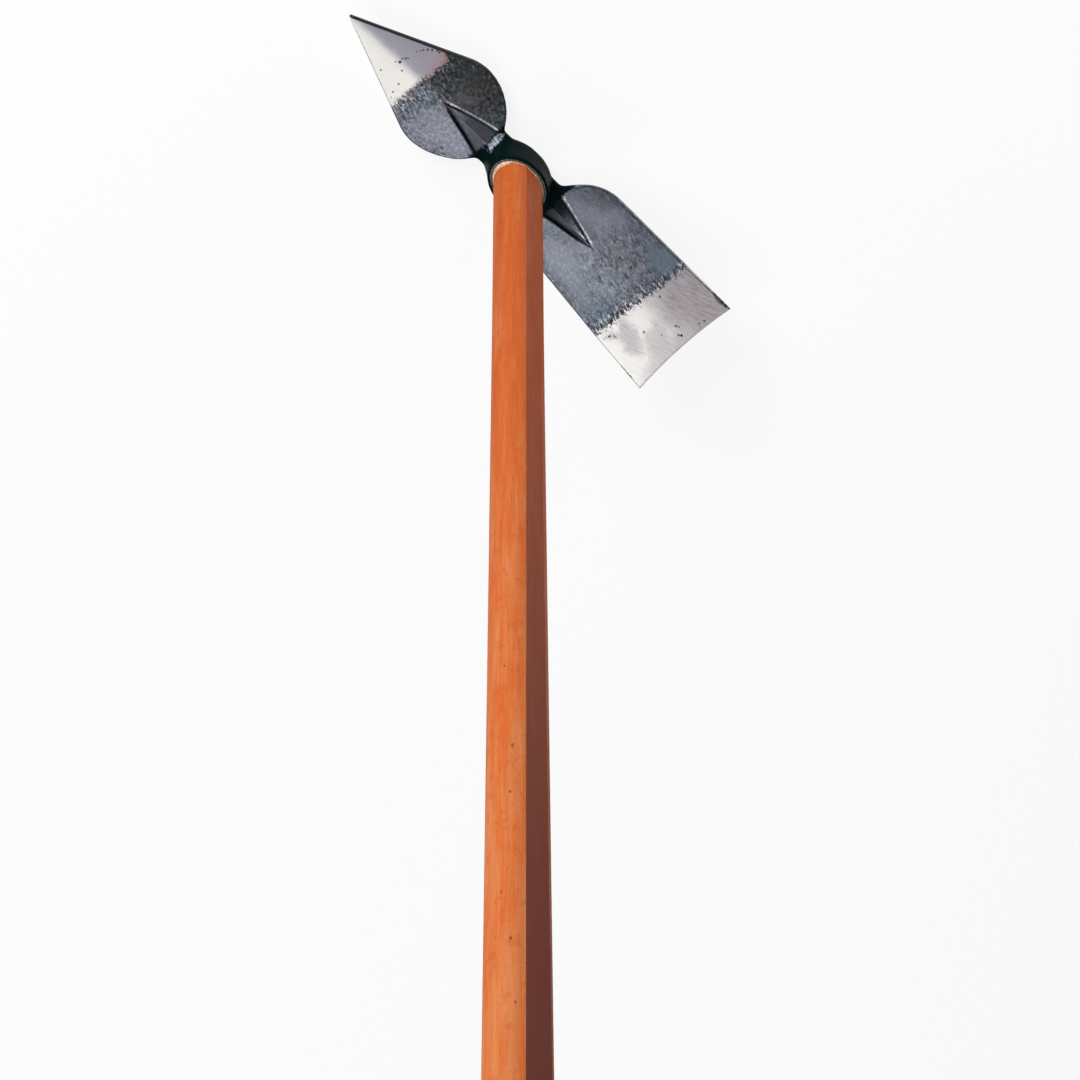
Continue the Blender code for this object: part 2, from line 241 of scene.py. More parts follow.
# Camera, lamps and floor

view = {
    "place": (0.7596, -0.7407, 2.7603),
    "azimuth": 46.402,
    "elevation": 63.930,
    "roll": 179.408,              # the grip points down in the picture
    "lens": 141.12,
    "sensor": 36.0,
    "nearest": 0.05,
    "farthest": 200.0,
}

lamps = {
    # name: place, aims at, size, power
    "overheadSoftbox": ((-0.30, 1.725, 2.30), (-0.30, 1.75, 0.0), (3.2, 2.40), 43.4),
    "sideSoftbox": ((2.26, -0.45, 1.30), (0.0, 0.0, 0.60), (1.3, 1.8), 64.0),
    "lowFill": ((0.10, -1.10, 0.26), (0.0, 0.0, 0.22), (0.30, 0.30), 4.0),
}

studio = {
    "zenith": (0.075, 0.083, 0.105),
    "horizon": 1.0,               # how bright it looks, straight or in a mirror
    "softHorizon": 0.22,          # how bright it is for the light it sheds
    "skyFade": (0.10, 0.40),      # heights between which the horizon turns into the zenith
    "floorSize": 60.0,
    "floorDrop": 0.0005,          # keeps the paper clear of the end of the handle
    "paleShare": 0.86,            # share of the paper's look that is plain white
    "paperTone": 0.95,
    "bounceGrey": 0.22,           # the paper's tone for the light it throws back
}


def setCamera(view):
    lensData = bpy.data.cameras.new("camera")
    lensData.lens = view["lens"]
    lensData.sensor_width = view["sensor"]
    lensData.clip_start = view["nearest"]
    lensData.clip_end = view["farthest"]
    camera = bpy.data.objects.new("camera", lensData)
    scene.collection.objects.link(camera)
    tilt = math.radians(90 - view["elevation"])
    level = Euler((tilt, 0, math.radians(view["azimuth"]))).to_matrix().to_4x4()
    roll = Matrix.Rotation(math.radians(view["roll"]), 4, "Z")
    camera.matrix_world = Matrix.Translation(view["place"]) @ level @ roll
    scene.camera = camera


def addLamp(name, place, target, size, power):
    lampData = bpy.data.lights.new(name, "AREA")
    lampData.shape = "RECTANGLE"
    lampData.size, lampData.size_y = size
    lampData.energy = power
    lamp = bpy.data.objects.new(name, lampData)
    scene.collection.objects.link(lamp)
    lamp.location = place
    lamp.rotation_mode = "QUATERNION"
    lamp.rotation_quaternion = (Vector(target) - Vector(place)).to_track_quat("-Z", "Y")
    lamp.visible_camera = False


def setWorld(studio):
    world = bpy.data.worlds.new("studio")
    scene.world = world
    world.use_nodes = True
    nodes = Nodes(world.node_tree)
    height = nodes.xyz(nodes.add("TexCoord").outputs["Generated"])[2]
    horizon = nodes.fade(nodes.seenRays(), 0.0, 1.0, studio["softHorizon"], studio["horizon"], smooth=False)
    sky = nodes.mix(nodes.fade(height, *studio["skyFade"]), horizon, studio["zenith"])
    nodes.plug(nodes.tree.nodes["Background"].inputs["Color"], sky)


def palePaper(studio):
    paper = bpy.data.materials.new("palePaper")
    paper.use_nodes = True
    nodes = Nodes(paper.node_tree)
    nodes.tree.nodes.clear()
    seen = nodes.seenRays()
    diffuse = nodes.add("BsdfDiffuse")
    tone = nodes.fade(seen, 0.0, 1.0, studio["bounceGrey"], studio["paperTone"], smooth=False)
    nodes.plug(diffuse.inputs["Color"], tone)
    white = nodes.add("Emission")
    nodes.plug(white.inputs["Color"], (1.0, 1.0, 1.0))
    both = nodes.add("MixShader")
    nodes.plug(both.inputs[0], nodes.times(seen, studio["paleShare"]))
    nodes.plug(both.inputs[1], diffuse.outputs[0])
    nodes.plug(both.inputs[2], white.outputs[0])
    nodes.plug(nodes.add("OutputMaterial").inputs["Surface"], both.outputs[0])
    return paper


def setFloor(studio):
    bpy.ops.object.select_all(action="DESELECT")
    bpy.ops.mesh.primitive_plane_add(size=studio["floorSize"], location=(0, 0, -studio["floorDrop"]))
    floor = bpy.context.object
    floor.name = "studioFloor"
    bpy.ops.object.transform_apply(location=True)
    floor.data.materials.append(palePaper(studio))
    floor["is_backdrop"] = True


setCamera(view)
for name, (place, target, size, power) in lamps.items():
    addLamp(name, place, target, size, power)
setWorld(studio)
setFloor(studio)
print("camera, lamps and floor are set")


# Small helpers for modelling

def newPiece(name, mesh):
    piece = bpy.data.objects.new(name, mesh)
    scene.collection.objects.link(piece)
    makeActive(piece)
    return piece


def makeActive(piece):
    bpy.ops.object.select_all(action="DESELECT")
    piece.select_set(True)
    bpy.context.view_layer.objects.active = piece


def pickVerts(piece, test):
    cage = bmesh.from_edit_mesh(piece.data)
    for vert in cage.verts:
        vert.select = test(vert.co)
    cage.select_flush_mode()
    bmesh.update_edit_mesh(piece.data)


def applyModifiers(piece):
    makeActive(piece)
    for modifier in list(piece.modifiers):
        bpy.ops.object.modifier_apply(modifier=modifier.name)


def triangles(piece):
    return sum(len(face.vertices) - 2 for face in piece.data.polygons)


# Forged head

head = {
    "weld": 0.000002,             # joins the seams of the CAD mesh
    "voxel": 0.00046,             # how finely the head is skinned over
    "evenShare": 0.4,             # takes the steps off the fresh skin
    "faces": 0.36,                # share of the skin's faces that is kept
    "neckRounds": 110,            # rounds the forging where the blades leave the eye
    "neckTo": 0.037,
    "neckTop": 0.033,
    "boreOval": (0.0228, 0.0168),       # radii of the oval that the rounding stays clear of
    "neckFades": (0.10, 0.008, 0.006),  # how gently it ends at that oval, on the blades, at the mouth
}


def makeHead(head):
    piece = newPiece("forged_head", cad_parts["hoe_head"].data.copy())
    bpy.ops.object.mode_set(mode="EDIT")
    bpy.ops.mesh.select_all(action="SELECT")
    bpy.ops.mesh.remove_doubles(threshold=head["weld"])
    bpy.ops.mesh.normals_make_consistent(inside=False)
    bpy.ops.object.mode_set(mode="OBJECT")
    skin = piece.modifiers.new("skin", "REMESH")
    skin.mode = "VOXEL"
    skin.voxel_size = head["voxel"]
    even = piece.modifiers.new("even", "SMOOTH")
    even.factor = head["evenShare"]
    even.iterations = 1
    applyModifiers(piece)
    markNeck(piece, head)
    soft = piece.modifiers.new("soft", "SMOOTH")
    soft.factor = 0.5
    soft.iterations = head["neckRounds"]
    soft.vertex_group = "neck"
    fewer = piece.modifiers.new("fewer", "DECIMATE")
    fewer.ratio = head["faces"]
    applyModifiers(piece)
    piece.vertex_groups.clear()
    noteRim(piece)
    bpy.ops.object.shade_smooth()
    return piece


def markNeck(piece, head):        # the skin round both necks, clear of the bore and of the mouth's rim
    group = piece.vertex_groups.new(name="neck")
    boreLong, boreWide = head["boreOval"]
    offBore, offBlade, offMouth = head["neckFades"]
    for vert in piece.data.vertices:
        x, y, z = abs(vert.co.x), abs(vert.co.y), vert.co.z
        clear = math.hypot(x / boreLong, y / boreWide) - 1.0
        if clear <= 0.0 or x > head["neckTo"] or z > head["neckTop"]:
            continue
        weight = min(1.0, clear / offBore)
        weight *= min(1.0, (head["neckTo"] - x) / offBlade)
        weight *= min(1.0, (head["neckTop"] - z) / offMouth)
        if weight > 0.02:
            group.add([vert.index], weight, "REPLACE")


def noteRim(piece):               # stores how far each point lies inside the blades' plan edge, in mm
    widest = {}
    for vert in piece.data.vertices:
        station = round(vert.co.x * 1000)
        widest[station] = max(widest.get(station, 0.0), abs(vert.co.y) * 1000)
    rim = piece.data.attributes.new("rim", "FLOAT", "POINT")
    for vert, value in zip(piece.data.vertices, rim.data):
        at = vert.co.x * 1000
        low = math.floor(at)
        near = widest.get(low, 0.0)
        far = widest.get(low + 1, near)
        value.value = near + (far - near) * (at - low) - abs(vert.co.y) * 1000


# Handle

handle = {
    # along the blades, across them, and the width of each planed side
    "inEye": (0.0414, 0.0294, 0.0080),
    "atMouth": (0.0406, 0.0286, 0.0080),
    "collar": (0.0378, 0.0277, 0.0114),
    "swellEnd": (0.0366, 0.0271, 0.0129),
    "butt": (0.0356, 0.0268, 0.0172),
    # heights, and how many rings each stretch has
    "eyeBack": 0.0050,
    "mouth": 0.0367,
    "shaved": 0.0030,
    "swell": 0.3000,
    "swellSteps": 8,
    "shaftSteps": 12,
    "buttRounding": 0.0060,
    "buttSteps": 6,
    "sides": 128,
    "arris": 0.0011,              # how much the planed arrises are eased
    "arrisAngle": 9,              # degrees, from which an edge counts as an arris
    "smoothAngle": 30,
    "iron": (0.06, 0.03, 0.01),   # the planing tool's width and thickness, and how far it passes both ends
    # wedge, whether its slot runs along X, the share of its width left inside, how far it passes the wedge
    "slots": (("wooden_wedge", True, 0.30, 0.012), ("steel_wedge", False, 0.28, 0.0)),
    "slotGap": 0.0003,
    "slotSpare": 0.0020,          # how much deeper than the wedge the slot is, at both ends together
}


def handleStations(handle, top):
    collar, swellEnd, butt = handle["collar"], handle["swellEnd"], handle["butt"]
    stations = [(0.0, handle["inEye"]), (handle["eyeBack"], handle["inEye"])]
    stations.append((handle["mouth"], handle["atMouth"]))
    start = handle["mouth"] + handle["shaved"]
    swellTo = handle["mouth"] + handle["swell"]
    for step in range(handle["swellSteps"] + 1):
        share = step / handle["swellSteps"]
        thin = share * share * (3 - 2 * share)
        long, wide = [a + (b - a) * thin for a, b in zip(collar[:2], swellEnd)]
        flat = collar[2] + (swellEnd[2] - collar[2]) * share
        stations.append((start + (swellTo - start) * share, (long, wide, flat)))
    roundFrom = top - handle["buttRounding"]
    for step in range(1, handle["shaftSteps"] + 1):
        share = step / handle["shaftSteps"]
        section = [a + (b - a) * share for a, b in zip(swellEnd, butt)]
        stations.append((swellTo + (roundFrom - swellTo) * share, section))
    for step in range(1, handle["buttSteps"] + 1):
        angle = math.pi / 2 * step / handle["buttSteps"]
        inset = handle["buttRounding"] * (1 - math.cos(angle))
        long, wide, flat = butt
        section = (long - 2 * inset, wide - 2 * inset, flat * (1 - 2 * inset / wide))
        stations.append((roundFrom + handle["buttRounding"] * math.sin(angle), section))
    return stations


def makeHandle(handle):
    stations = handleStations(handle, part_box("handle")[1].z)
    piece = drawOval(stations, handle["sides"])
    for side in (1, -1):
        planeSide(piece, stations, side, handle)
    cutSlots(piece, handle)
    edges = piece.modifiers.new("arris", "BEVEL")
    edges.limit_method = "ANGLE"
    edges.angle_limit = math.radians(handle["arrisAngle"])
    edges.width = handle["arris"]
    edges.segments = 3
    applyModifiers(piece)
    bpy.ops.object.shade_smooth_by_angle(angle=math.radians(handle["smoothAngle"]))
    return piece


def drawOval(stations, sides):    # the full oval, extruded ring by ring before it is planed
    def oval(long, wide, flat):
        return long, wide / math.sin(math.acos(flat / long))

    bpy.ops.object.select_all(action="DESELECT")
    bpy.ops.mesh.primitive_circle_add(vertices=sides, radius=0.5, fill_type="NGON", location=(0, 0, 0))
    piece = bpy.context.object
    piece.name = "oval_handle"
    bpy.ops.object.mode_set(mode="EDIT")
    bpy.ops.mesh.select_all(action="SELECT")
    at, (nowLong, nowWide) = 0.0, oval(*stations[0][1])
    bpy.ops.transform.resize(value=(nowLong, nowWide, 1), center_override=(0, 0, 0))
    for height, section in stations[1:]:
        nextLong, nextWide = oval(*section)
        bpy.ops.mesh.extrude_region_move(TRANSFORM_OT_translate={"value": (0, 0, height - at)})
        change = (nextLong / nowLong, nextWide / nowWide, 1)
        bpy.ops.transform.resize(value=change, center_override=(0, 0, height))
        at, nowLong, nowWide = height, nextLong, nextWide
    bpy.ops.mesh.select_all(action="SELECT")
    bpy.ops.mesh.normals_make_consistent(inside=False)
    bpy.ops.object.mode_set(mode="OBJECT")
    return piece


def planeSide(piece, stations, side, handle):         # takes the wood off one long side, as a plane does
    ironWide, ironThick, past = handle["iron"]
    bpy.ops.object.select_all(action="DESELECT")
    bpy.ops.mesh.primitive_cube_add(size=1.0, location=(0, 0, 0))
    iron = bpy.context.object
    bpy.ops.object.mode_set(mode="EDIT")
    top = stations[-1][0]
    low, high = -past, top + past
    bpy.ops.transform.resize(value=(ironWide, ironThick, high - low), center_override=(0, 0, 0))
    bpy.ops.transform.translate(value=(0, side * ironThick / 2, (high + low) / 2))
    for height, _ in stations[1:-1]:
        bpy.ops.mesh.select_all(action="SELECT")
        bpy.ops.mesh.bisect(plane_co=(0, 0, height), plane_no=(0, 0, 1))
    for height, (long, wide, flat) in stations:
        at = {0.0: low, top: high}.get(height, height)
        pickVerts(iron, lambda co: abs(co.z - at) < 0.00005 and abs(co.y) < 0.001)
        bpy.ops.transform.translate(value=(0, side * wide / 2, 0))
    bpy.ops.object.mode_set(mode="OBJECT")
    cutAway(piece, iron)


def cutAway(piece, tool):
    cut = piece.modifiers.new("cut", "BOOLEAN")
    cut.operation = "DIFFERENCE"
    cut.solver = "EXACT"
    cut.object = tool
    applyModifiers(piece)
    bpy.data.objects.remove(tool)


def cutSlots(piece, handle):      # the kerf and the slot that the two wedges sit in
    gap = handle["slotGap"]
    for node, alongX, narrowTo, past in handle["slots"]:
        low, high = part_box(node)
        size = high - low
        middle = ((low.x + high.x) / 2, (low.y + high.y) / 2, high.z / 2)
        bpy.ops.object.select_all(action="DESELECT")
        bpy.ops.mesh.primitive_cube_add(size=1.0, location=middle)
        saw = bpy.context.object
        bpy.ops.object.mode_set(mode="EDIT")
        full = (size.x + 2 * past + 2 * gap, size.y + 2 * gap, high.z + handle["slotSpare"])
        bpy.ops.transform.resize(value=full, center_override=middle)
        pickVerts(saw, lambda co: co.z > 0)
        narrow = (1, narrowTo, 1) if alongX else (narrowTo, 1, 1)
        bpy.ops.transform.resize(value=narrow, center_override=middle)
        bpy.ops.object.mode_set(mode="OBJECT")
        cutAway(piece, saw)


headPiece = makeHead(head)
print("head is skinned:", triangles(headPiece), "triangles")
handlePiece = makeHandle(handle)
print("handle is cut:", triangles(handlePiece), "triangles")


# Finish of the head

steel = {
    # all in millimetres from the handle's axis, seen from the grip
    "pointGround": 95.4,          # where the grinding of the pointed blade starts
    "pointSteps": ((2.0, -10.0, 0.0, -2.6), (-21.0, -29.0, 0.0, 7.0)),         # and how that shifts along y
    "squareGround": 121.7,
    "squareSkew": 0.073,          # the square band runs a little askew
    "squareHollow": 2.7,          # how far the middle of the cutting edge lies in
    "squareHalf": 43.7,           # half the width of that edge
    "ragged": 15.0,               # how far the boundary of the grinding strays
    "bristled": (6.0, 17.0),      # and how long its bristles are on the square blade
    "ribs": ((11.25, 71.4), (9.6, 72.9)),      # half width at the eye and reach, pointed then square
    "ribFrom": 27.5,
    "ribSpan": ((25.0, 28.0), (75.5, 70.5)),   # fades in at the eye and out past the ribs' points
    "blackSide": (84.0, 100.0, 0.7, 1.7),      # the strip along one side of the point: from, to, its widths
    "lacquerTo": 31.5,
    "lacquerStrays": 9.0,
    "mouthOval": (22.2, 16.1),    # radii of the bare rim of the mouth
    "mouthFrom": (34.5, 35.5),    # heights between which it fades in
    "filletFrom": (24.0, 19.0),   # heights between which the painted highlight on the fillet fades in
    "scalePatches": (
        # x, y, two radii, turn, share, colour
        (64.5, -11.5, 7.0, 3.5, 25, 0.36, (0.200, 0.205, 0.240)),
        # reddish scale in the shaded half, partly a painted reflection of the handle
        (62.0, -22.5, 6.0, 4.0, 40, 0.12, (0.165, 0.105, 0.105)),
        (79.0, -29.0, 15.0, 7.0, -12, 0.55, (0.040, 0.058, 0.052)),
        (52.0, 16.0, 13.0, 8.0, 20, 0.18, (0.250, 0.258, 0.305)),
        (82.0, 8.0, 11.0, 5.0, 60, 0.40, (0.090, 0.115, 0.130)),
        (-57.0, -15.0, 13.0, 6.0, 12, 0.50, (0.280, 0.290, 0.340)),
        (-73.0, -19.0, 9.0, 13.0, 10, 0.55, (0.290, 0.300, 0.350)),
        (-66.0, 23.0, 16.0, 8.0, -8, 0.50, (0.275, 0.285, 0.335)),
        (-90.0, 0.0, 22.0, 20.0, 0, 0.65, (0.300, 0.315, 0.365)),
        (-89.0, -9.5, 9.0, 5.0, 30, 0.50, (0.215, 0.170, 0.200)),
        (-113.5, -32.0, 12.0, 7.5, 0, 0.75, (0.130, 0.180, 0.225)),
        (-90.0, 20.0, 15.0, 9.0, 0, 0.35, (0.220, 0.240, 0.280)),
        (-112.0, 28.0, 8.0, 9.0, 0, 0.50, (0.140, 0.185, 0.225)),
    ),
    # patches: x, y, two radii, turn
    "wrinkledPatches": ((86.0, -2.0, 20.0, 11.0, 0), (-94.0, -6.0, 26.0, 26.0, 0)),
    "smoothPatch": (-113.5, -32.0, 11.0, 7.0, 0),
    "rustPatches": ((96.8, -21.5, 3.6, 3.6, 0), (100.5, -25.5, 3.0, 2.2, 50), (97.2, -13.5, 2.4, 3.2, 0)),
    "soot": ((-157.0, -42.2, 5.5, 1.8, -3), (-163.8, -42.6, 1.6, 1.5, 0)),
    # painted highlight: patches on the fillet where the pointed blade meets the eye
    "filletHighlights": ((28.2, -6.4, 2.2, 5.6, -12), (27.0, 0.4, 1.4, 2.2, 0)),
    "dullPatches": (
        # the same, and a share
        (-144.0, -34.0, 38.0, 25.0, 6, 1.00), (-136.0, 23.5, 12.5, 6.5, -15, 0.72),
        (-154.0, 12.0, 15.0, 8.0, -35, 0.60), (-127.5, 32.5, 4.5, 3.0, 20, 0.70),
        (-162.5, -6.0, 7.5, 33.0, 3, 0.62),
    ),
    "pits": (
        # x, y, radius
        (115.7, -0.3, 1.25), (114.6, -4.6, 0.75), (116.2, -2.9, 0.70), (113.6, -6.0, 0.60),
        (120.8, 13.4, 0.70), (110.3, 3.3, 0.65), (104.7, 12.2, 0.80), (103.1, 19.2, 0.75),
        (101.0, 23.0, 0.60), (118.0, 1.8, 0.55), (112.7, -13.6, 0.60), (111.4, -15.6, 0.60),
        (110.5, -17.2, 0.75), (108.3, -19.4, 0.70), (106.0, -21.5, 0.80), (103.1, -23.3, 0.80),
        (101.2, -24.0, 0.70), (93.0, 1.5, 1.10), (52.4, -23.2, 1.10), (49.3, 25.7, 1.10),
        (-158.5, -5.0, 1.05), (-157.2, -3.6, 0.75), (-151.0, -6.9, 0.80), (-153.2, -7.6, 0.65),
        (-149.0, 5.2, 0.65), (-160.2, -20.0, 0.60), (-161.5, -24.0, 0.70), (-128.5, -13.0, 0.65),
        (-141.5, 3.6, 0.55), (-139.5, 13.0, 0.85), (-126.0, 33.5, 0.80), (-128.5, 30.8, 0.70),
    ),
    "scratches": (
        # from, to, half width
        ((-147.0, 41.6), (-151.5, 42.3), 0.35), ((-151.5, 42.3), (-158.4, 42.6), 0.60),
    ),
    "tones": {
        "scale": ((0.090, 0.096, 0.116), (0.168, 0.176, 0.212), (0.250, 0.260, 0.305)),
        "scaleRed": (0.172, 0.142, 0.158),
        "scaleBlue": (0.150, 0.185, 0.225),      # more of it on the square blade
        # painted shade: these darker tones stand for the half of the pointed blade turned away from the
        # lamps
        "shadeDark": (0.018, 0.029, 0.030),      # the half of the pointed blade that is turned away
        "shadePale": (0.106, 0.138, 0.140),
        "strokeDark": (0.016, 0.024, 0.028),
        "strokePale": (0.360, 0.400, 0.445),
        "rib": (0.120, 0.134, 0.138),
        "ribRoot": (0.016, 0.024, 0.025),
        # painted highlight on the outer wall of the groove on the -Y side
        "wallHighlight": (0.600, 0.620, 0.650),
        # painted shade in the grooves beside the ribs
        "groove": (0.006, 0.008, 0.009),
        "rim": (0.030, 0.034, 0.038),
        "bright": ((0.685, 0.664, 0.630), (0.725, 0.706, 0.672), (0.765, 0.750, 0.716)),
        "pointBright": (0.517, 0.500, 0.475),
        # painted shade: a duller, bluer copy of the ground steel for the -Y half of the point
        "pointShadedHalf": (0.430, 0.475, 0.575),
        "dull": ((0.255, 0.210, 0.242), (0.305, 0.258, 0.288), (0.378, 0.330, 0.352)),
        "honed": (0.440, 0.395, 0.395),
        "squareRim": (0.200, 0.190, 0.200),
        "speckDark": (0.120, 0.065, 0.065),
        "speckPale": (0.520, 0.400, 0.390),
        "rust": (0.560, 0.390, 0.370),
        "seamPale": (0.760, 0.690, 0.680),
        "seamDark": (0.020, 0.016, 0.020),
        "pit": (0.030, 0.026, 0.030),
        "blackSide": (0.026, 0.026, 0.028),
        "lacquer": (0.0012, 0.0080, 0.0070),
        # painted highlight on the fillet
        "filletHighlight": (0.560, 0.670, 0.780),
        "bareDark": (0.060, 0.058, 0.066),
        "barePale": (0.360, 0.350, 0.400),
    },
}


class ForgedSteel(Finish):        # one material for the whole head, painted stage by stage
    def __init__(self, steel, edgeAt):
        super().__init__("forgedSteel")
        self.steel = steel
        self.tones = steel["tones"]
        self.findPlaces()
        self.findUnevenness()
        self.findGround()
        self.findRibs()
        scale = self.paintScale()
        bright = self.paintBright(edgeAt)
        colour = self.mix(self.ground, scale, bright)
        colour = self.paintSeam(colour)
        colour = self.paintMarks(colour)
        colour = self.paintEye(colour)
        self.wire("Base Color", colour)
        self.setGloss()
        self.setRelief()

    def findPlaces(self):
        self.x, self.y, self.z = self.xyz(self.mm)
        self.out = self.absolute(self.x)                     # from the handle's axis
        self.aside = self.absolute(self.y)                   # from the blades' middle line
        self.nz = self.xyz(self.coords.outputs["Normal"])[2]
        self.flat = self.join(self.x, self.y, 0.0)
        self.rim = self.stored("rim")
        self.onPoint = self.math("GREATER_THAN", self.x, 0.0)
        self.onSquare = self.rest(self.onPoint)
        self.upward = self.fade(self.nz, 0.2, 0.5)

    def findUnevenness(self):     # noise at several sizes
        flat = self.flat
        self.clouds = self.noise(flat, 0.055, 2.0)
        self.drifts = self.noise(self.stretch(flat, (8.3, 8.3, 1), place=(31, 17, 0)), 1.0, 3.0)
        self.mottle = self.noise(flat, 0.42, 5.0, 0.60, 0.4)
        self.fine = self.noise(flat, 0.95, 3.0, 0.60, 0.3)
        self.grain = self.noise(self.mm, 1.6, 4.0, 0.7)
        self.strokes = self.noise(self.stretch(flat, (4.6, 1.7, 1), turn=-10), 1.0, 3.0, 0.62, 0.9)
        curls = self.noise(self.stretch(flat, (3.0, 2.4, 1), turn=-25, place=(7, 3, 0)), 1.0, 2.0, 0.5, 1.8)
        self.curl = self.close(curls, 0.5, 0.085, 0.030)

    def wobbled(self, slow, quick):          # the plan, shifted about so that patches get uneven outlines
        shiftX = self.plus(self.swing(self.drifts, slow), self.swing(self.fine, quick))
        shiftY = self.plus(self.swing(self.clouds, slow), self.swing(self.mottle, quick))
        return self.join(self.plus(self.x, shiftX), self.plus(self.y, shiftY), 0.0)

    def findGround(self):         # where the blades are ground bright
        steel = self.steel
        pointEdge = steel["pointGround"]
        for step in steel["pointSteps"]:
            pointEdge = self.plus(pointEdge, self.fade(self.y, *step))
        pointPast = self.minus(self.x, pointEdge)
        squareEdge = self.minus(steel["squareGround"], self.times(self.y, steel["squareSkew"]))
        squarePast = self.minus(self.times(self.x, -1.0), squareEdge)
        ragged = self.swing(self.noise(self.flat, 0.36, 4.0, 0.65), steel["ragged"])
        bristled = self.swing(self.strokes, self.fade(self.drifts, 0.38, 0.62, *steel["bristled"]))
        pointPast = self.plus(pointPast, ragged)
        squarePast = self.plus(squarePast, self.plus(bristled, self.times(ragged, 0.60)))
        self.past = self.blend(self.onPoint, squarePast, pointPast)      # in mm past the boundary

        # the forged sides stay black, and so does a strip along one side of the point
        sideways = self.fade(self.nz, 0.55, 0.30)
        oneHalf = self.times(self.onPoint, self.fade(self.y, 0.4, -0.4))
        strip = self.fade(self.minus(self.rim, self.fade(self.x, *steel["blackSide"])), 0.5, -0.5)
        self.strip = self.most(self.times(oneHalf, strip), self.times(oneHalf, sideways))
        self.ground = self.times(self.fade(self.past, -0.35, 0.45), self.rest(self.strip))
        self.seam = self.times(self.fade(self.past, -3.0, -0.2), self.fade(self.past, 4.0, 0.5))
        self.rimLine = self.fade(self.rim, 1.7, 0.5)

    def findRibs(self):           # the roof ribs and the grooves beside them, with painted shade in the grooves and on one of their walls
        steel = self.steel
        offs = []
        for half, reach in steel["ribs"]:
            ribSide = self.fade(self.out, steel["ribFrom"], reach, half, 0.3, smooth=False)
            offs.append(self.minus(self.aside, ribSide))
        self.ribOff = self.blend(self.onPoint, offs[1], offs[0])
        atEye, atPoints = steel["ribSpan"]
        nearRib = self.times(self.fade(self.out, *atPoints), self.upward)
        nearRib = self.times(nearRib, self.fade(self.out, *atEye))
        self.onRib = self.times(self.fade(self.ribOff, 0.4, -0.4), nearRib)
        # painted shade: the grooves are painted near black
        groove = self.times(self.fade(self.absolute(self.ribOff), 0.85, 0.30), nearRib)
        wall = self.times(self.close(self.ribOff, 1.5, 1.1, 0.5), nearRib)
        plusSide = self.math("GREATER_THAN", self.y, 0.0)
        # painted shade on the groove's outer wall on the +Y side
        shadedWall = self.times(self.close(self.ribOff, 0.9, 1.0, 0.5), plusSide, nearRib)
        shadedWall = self.times(shadedWall, self.fade(self.out, 72.0, 58.0, 0.2, 1.0))
        self.groove = self.most(groove, shadedWall)
        # painted highlight on the outer wall of the groove on the -Y side
        self.wallHighlight = self.times(wall, self.rest(plusSide), self.fade(self.mottle, 0.34, 0.52))

    def paintScale(self):         # mottled, and wrinkled toward the ground parts and the rims
        tones = self.tones
        tone = self.plus(self.times(self.mottle, 0.42), self.times(self.fine, 0.36))
        tone = self.plus(tone, self.times(self.clouds, 0.22))
        scale = self.ramp(tone, (0.38, 0.50, 0.62), tones["scale"])
        scale = self.mix(self.times(self.fade(self.clouds, 0.52, 0.66), 0.35), scale, tones["scaleRed"])
        scale = self.mix(self.times(self.onSquare, 0.22), scale, tones["scaleBlue"])
        # painted shade on the half of the pointed blade that is turned away from the lamps
        inShade = self.times(self.onPoint, self.fade(self.y, 1.0, -7.0))
        self.inShade = self.times(inShade, self.fade(self.ribOff, 1.0, 3.0))
        shaded = self.mix(self.fade(self.mottle, 0.36, 0.64), tones["shadeDark"], tones["shadePale"])
        scale = self.mix(self.times(self.inShade, 0.85), scale, shaded)
        patchy = self.wobbled(12.0, 5.0)
        for *place, share, colour in self.steel["scalePatches"]:
            scale = self.mix(self.times(self.spot(patchy, place, 0.55), share), scale, colour)
        wrinkled = self.findWrinkled(patchy)
        self.darkStroke = self.fade(self.strokes, 0.48, 0.40)
        self.paleStroke = self.fade(self.strokes, 0.54, 0.64)
        wrinkle = self.times(self.most(self.times(self.curl, 0.85), self.darkStroke), wrinkled)
        scale = self.mix(self.times(wrinkle, 0.80), scale, tones["strokeDark"])
        scale = self.mix(self.times(self.paleStroke, wrinkled, 0.60), scale, tones["strokePale"])
        scale = self.mix(self.times(self.onRib, 0.40), scale, tones["rib"])
        rootEnd = self.fade(self.plus(self.x, self.times(self.fine, 16.0)), -50.0, -24.0, 0.0, 0.93)
        scale = self.mix(self.times(self.onRib, self.onSquare, rootEnd), scale, tones["ribRoot"])
        # painted highlight along one groove wall
        scale = self.mix(self.times(self.wallHighlight, 0.80), scale, tones["wallHighlight"])
        # painted shade in the grooves
        scale = self.mix(self.times(self.groove, 0.93), scale, tones["groove"])
        return self.mix(self.times(self.rimLine, 0.70), scale, tones["rim"])

    def findWrinkled(self, patchy):
        wrinkled = self.most(self.fade(self.past, -26.0, -6.0), self.fade(self.rim, 11.0, 2.0, 0.0, 0.8))
        for place in self.steel["wrinkledPatches"]:
            wrinkled = self.most(wrinkled, self.spot(patchy, place, 0.5))
        wrinkled = self.times(wrinkled, self.fade(self.drifts, 0.34, 0.54, 0.45, 1.0))
        return self.times(wrinkled, self.rest(self.spot(patchy, self.steel["smoothPatch"], 0.4)))

